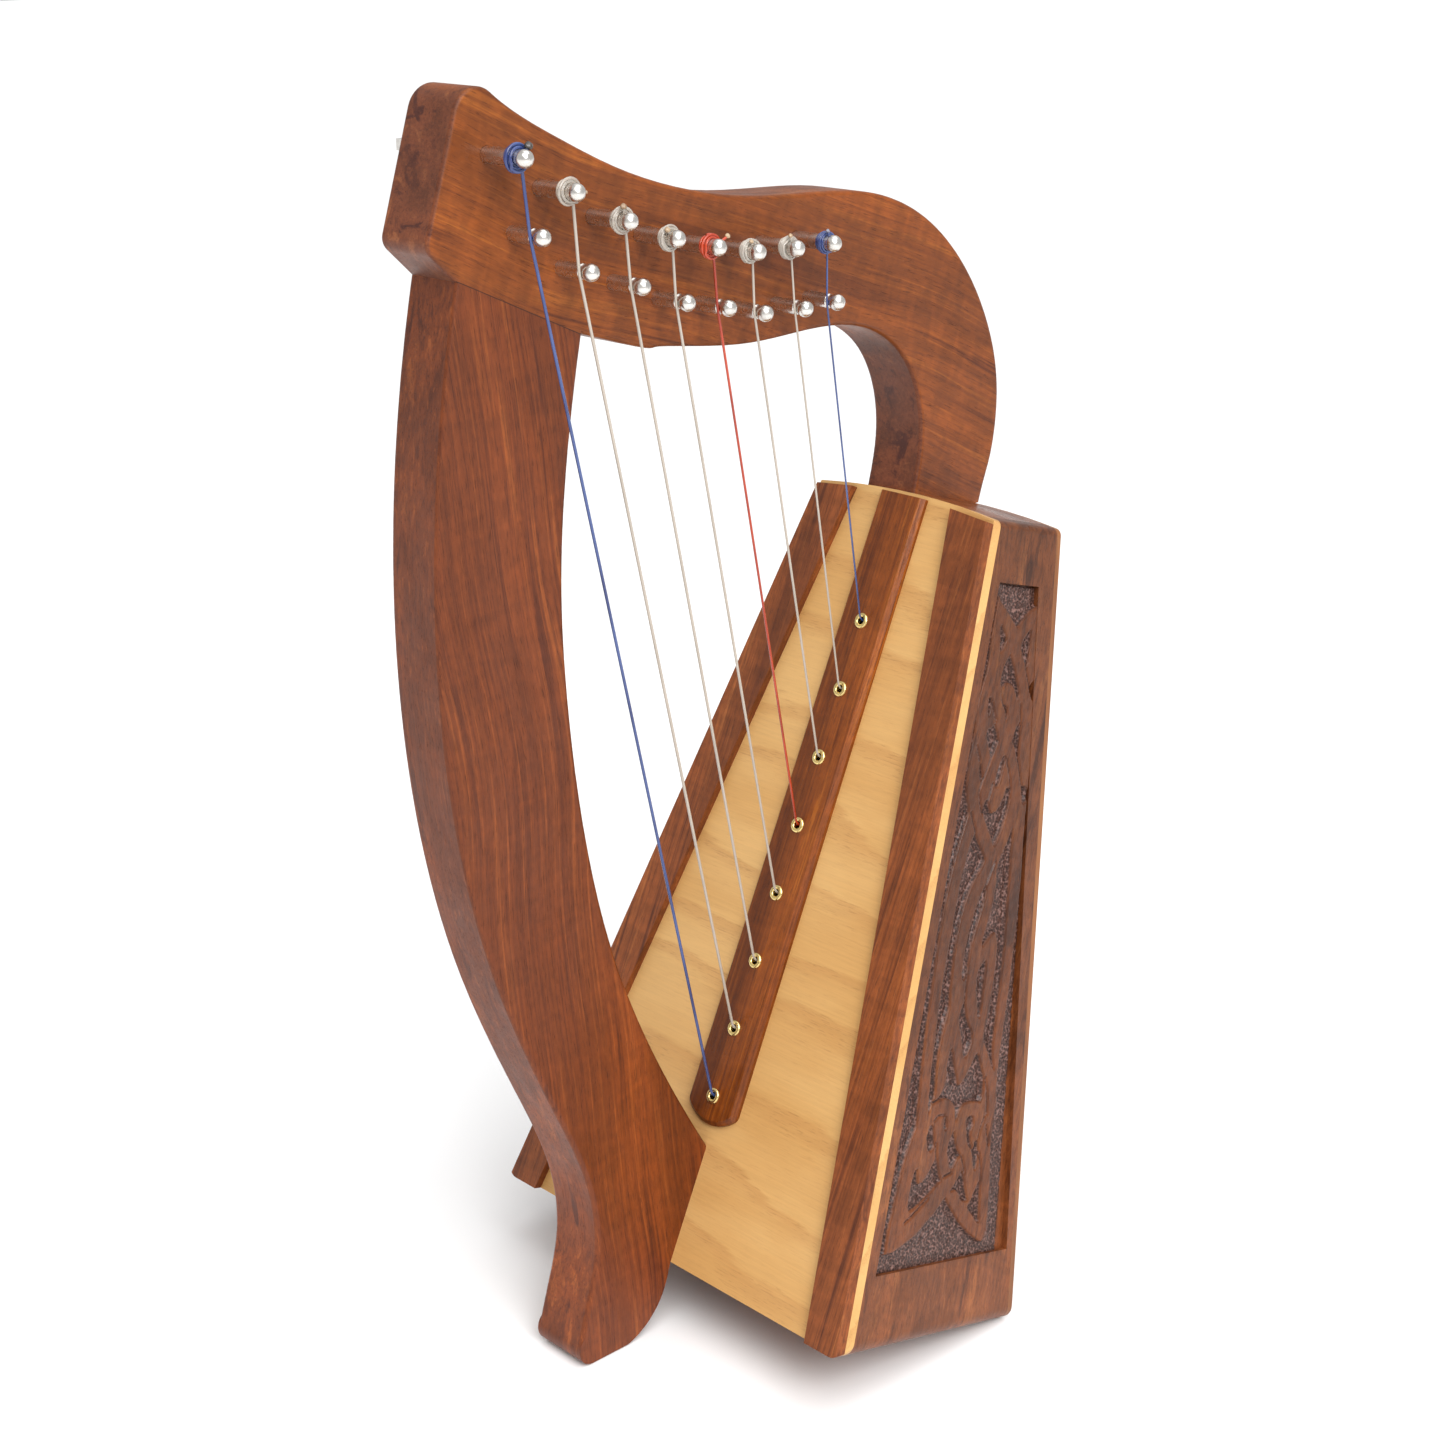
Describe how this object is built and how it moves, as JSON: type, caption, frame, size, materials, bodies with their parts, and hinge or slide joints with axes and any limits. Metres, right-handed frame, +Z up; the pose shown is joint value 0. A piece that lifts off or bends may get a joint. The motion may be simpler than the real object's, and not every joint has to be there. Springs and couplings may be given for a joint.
{
  "type": "lap harp",
  "caption": "Small wooden lap harp: tapered soundbox with carved knotwork sides, curved pillar and neck, nylon strings on turning tuning pins.",
  "frame": {"origin": "on the ground below the centre of the harp's bounding box", "axes": "+Z up; +Y from the pillar towards the soundbox; +X towards the side of the neck that the strings hang on"},
  "size_m": [0.1758, 0.2566, 0.4388],
  "materials": {
    "neck_wood": "oiled satin walnut",
    "pillar_wood": "oiled satin walnut",
    "soundboard_wood": "satin ash",
    "strip_wood": "oiled satin walnut",
    "panel_wood": "oiled satin walnut",
    "back_wood": "satin light wood",
    "inner_wood": "bare softwood",
    "dowel_wood": "bare beech",
    "screw_steel": "zinc plated",
    "eyelet_metal": "polished pale brass",
    "pin_metal": "nickel plated, bright",
    "anchor_nylon": "translucent nylon knot",
    "string_blue": "glossy nylon",
    "string_red": "glossy nylon",
    "string_clear": "glossy clear nylon"
  },
  "bodies": {
    "harp_frame": {"neck": "neck_wood", "pillar": "pillar_wood", "soundboard": "soundboard_wood", "string_rib": "strip_wood", "rail_left": "strip_wood", "rail_right": "strip_wood", "side_panel_left": "panel_wood", "side_panel_right": "panel_wood", "top_plate": "panel_wood", "bottom_plate": "panel_wood", "back_panel": "back_wood", "pillar_block": "inner_wood", "neck_block": "inner_wood", "inner_rib": "inner_wood", "soundboard_braces": "inner_wood", "lining_left": "inner_wood", "lining_right": "inner_wood", "neck_pillar_dowels": "dowel_wood", "shoulder_dowels": "dowel_wood", "pillar_screws": "screw_steel", "string_eyelets": "eyelet_metal", "bridge_pins": "pin_metal", "string_anchors": "anchor_nylon", "string_1": "string_blue", "string_2": "string_clear", "string_3": "string_clear", "string_4": "string_clear", "string_5": "string_red", "string_6": "string_clear", "string_7": "string_clear", "string_8": "string_blue"},
    "pin_body_1": {"tuning_pin_1": "pin_metal", "string_coil_1": "string_blue"},
    "pin_body_2": {"tuning_pin_2": "pin_metal", "string_coil_2": "string_clear"},
    "pin_body_3": {"tuning_pin_3": "pin_metal", "string_coil_3": "string_clear"},
    "pin_body_4": {"tuning_pin_4": "pin_metal", "string_coil_4": "string_clear"},
    "pin_body_5": {"tuning_pin_5": "pin_metal", "string_coil_5": "string_red"},
    "pin_body_6": {"tuning_pin_6": "pin_metal", "string_coil_6": "string_clear"},
    "pin_body_7": {"tuning_pin_7": "pin_metal", "string_coil_7": "string_clear"},
    "pin_body_8": {"tuning_pin_8": "pin_metal", "string_coil_8": "string_blue"}
  },
  "joints": [
    {"name": "tuning_pin_1_turn", "type": "hinge", "parent": "harp_frame", "child": "pin_body_1", "pos_m": [0.0015, -0.1032, 0.4196], "axis": [1, 0, 0], "continuous": true},
    {"name": "tuning_pin_2_turn", "type": "hinge", "parent": "harp_frame", "child": "pin_body_2", "pos_m": [0.0015, -0.0842, 0.4085], "axis": [1, 0, 0], "continuous": true},
    {"name": "tuning_pin_3_turn", "type": "hinge", "parent": "harp_frame", "child": "pin_body_3", "pos_m": [0.0015, -0.0639, 0.3982], "axis": [1, 0, 0], "continuous": true},
    {"name": "tuning_pin_4_turn", "type": "hinge", "parent": "harp_frame", "child": "pin_body_4", "pos_m": [0.0015, -0.0448, 0.3911], "axis": [1, 0, 0], "continuous": true},
    {"name": "tuning_pin_5_turn", "type": "hinge", "parent": "harp_frame", "child": "pin_body_5", "pos_m": [0.0015, -0.0277, 0.3868], "axis": [1, 0, 0], "continuous": true},
    {"name": "tuning_pin_6_turn", "type": "hinge", "parent": "harp_frame", "child": "pin_body_6", "pos_m": [0.0015, -0.0106, 0.3836], "axis": [1, 0, 0], "continuous": true},
    {"name": "tuning_pin_7_turn", "type": "hinge", "parent": "harp_frame", "child": "pin_body_7", "pos_m": [0.0015, 0.0066, 0.3829], "axis": [1, 0, 0], "continuous": true},
    {"name": "tuning_pin_8_turn", "type": "hinge", "parent": "harp_frame", "child": "pin_body_8", "pos_m": [0.0015, 0.0234, 0.3828], "axis": [1, 0, 0], "continuous": true}
  ]
}
